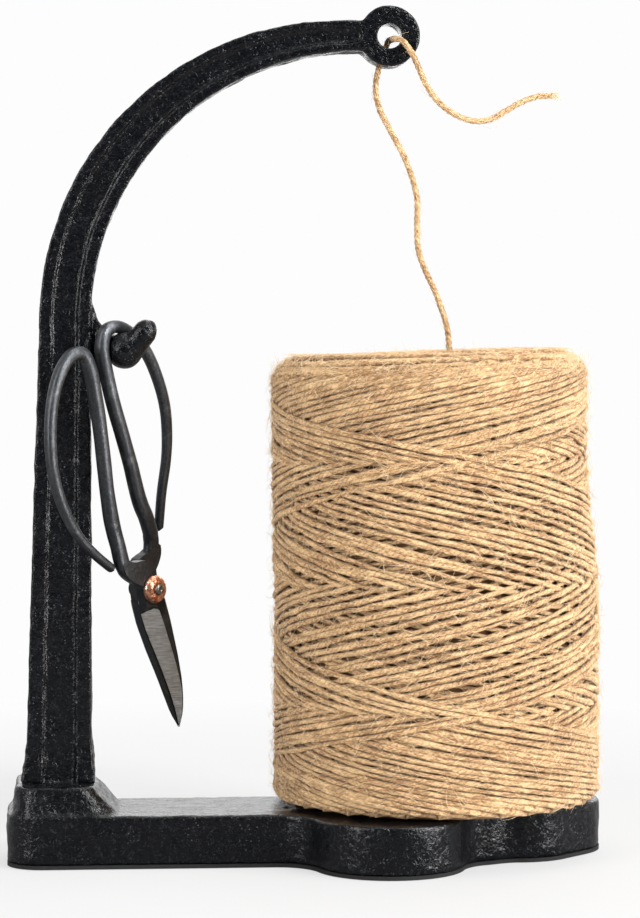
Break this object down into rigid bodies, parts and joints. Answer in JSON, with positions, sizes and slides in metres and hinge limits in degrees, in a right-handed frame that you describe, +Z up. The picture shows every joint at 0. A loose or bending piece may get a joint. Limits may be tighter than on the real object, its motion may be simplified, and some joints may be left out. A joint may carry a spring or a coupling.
{
  "type": "string holder",
  "caption": "Cast stand with an arched arm and eye that holds a standing package of jute twine, feeds its end through the eye and carries loop-handled scissors on a hook.",
  "frame": {"origin": "on the table under the twine package's axis", "axes": "+X away from the post, +Y to the back, +Z up"},
  "size_m": [0.1967, 0.1144, 0.2784],
  "materials": {
    "enamelled_iron": "gloss",
    "pad_rubber": "matte",
    "fastener_steel": "satin",
    "forged_steel": "satin",
    "copper": "satin",
    "jute": "matte"
  },
  "bodies": {
    "stand": {"base_casting": "enamelled_iron", "base_pad": "pad_rubber", "arm_casting": "enamelled_iron", "arm_bolt": "fastener_steel", "bolt_washer": "fastener_steel", "twine_lead": "jute"},
    "twine_package": {"twine_core": "jute", "twine_winding": "jute"},
    "scissors": {"scissors_back_half": "forged_steel", "scissors_rivet": "fastener_steel", "copper_washer": "copper", "back_washer": "forged_steel"},
    "scissors_front": {"scissors_front_half": "forged_steel"}
  },
  "joints": [
    {"name": "package_turn", "type": "hinge", "parent": "stand", "child": "twine_package", "pos_m": [0, 0, 0.0172], "axis": [0, 0, 1], "continuous": true},
    {"name": "scissors_swing", "type": "hinge", "parent": "stand", "child": "scissors", "pos_m": [-0.10674, -0.01515, 0.16653], "axis": [0.6947, -0.7193, 0], "range_deg": [-10, 12]},
    {"name": "scissors_pivot", "type": "hinge", "parent": "scissors", "child": "scissors_front", "pos_m": [-0.09761, -0.00633, 0.08831], "axis": [0.6947, -0.7193, 0], "range_deg": [0, 36]}
  ]
}
